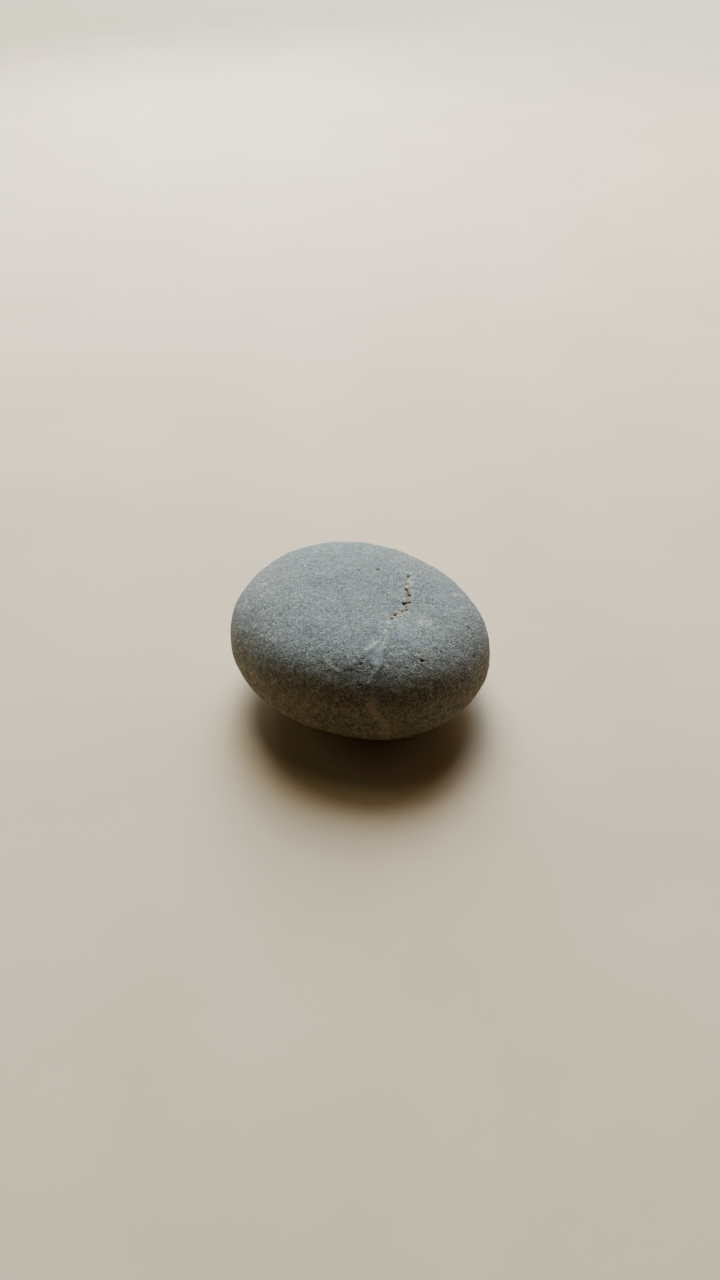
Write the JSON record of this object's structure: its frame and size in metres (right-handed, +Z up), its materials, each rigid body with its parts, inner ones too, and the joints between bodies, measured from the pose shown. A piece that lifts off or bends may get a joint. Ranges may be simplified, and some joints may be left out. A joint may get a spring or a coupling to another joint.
{
  "type": "river pebble",
  "caption": "Water-worn grey pebble with a flattened crown, a rounded belly and a pitted pale vein, to rest on a surface.",
  "frame": {"origin": "middle of the footprint, on the level that the stone rests on", "axes": "+X along the longest side, towards the narrower end; +Y across the stone, away from the face that the vein runs down; +Z up, through the flattened crown"},
  "size_m": [0.0622, 0.0572, 0.0311],
  "materials": {
    "stone": "dry, matt, finely pitted grey stone with a pale vein"
  },
  "bodies": {
    "root": {"pebble": "stone"}
  },
  "joints": []
}
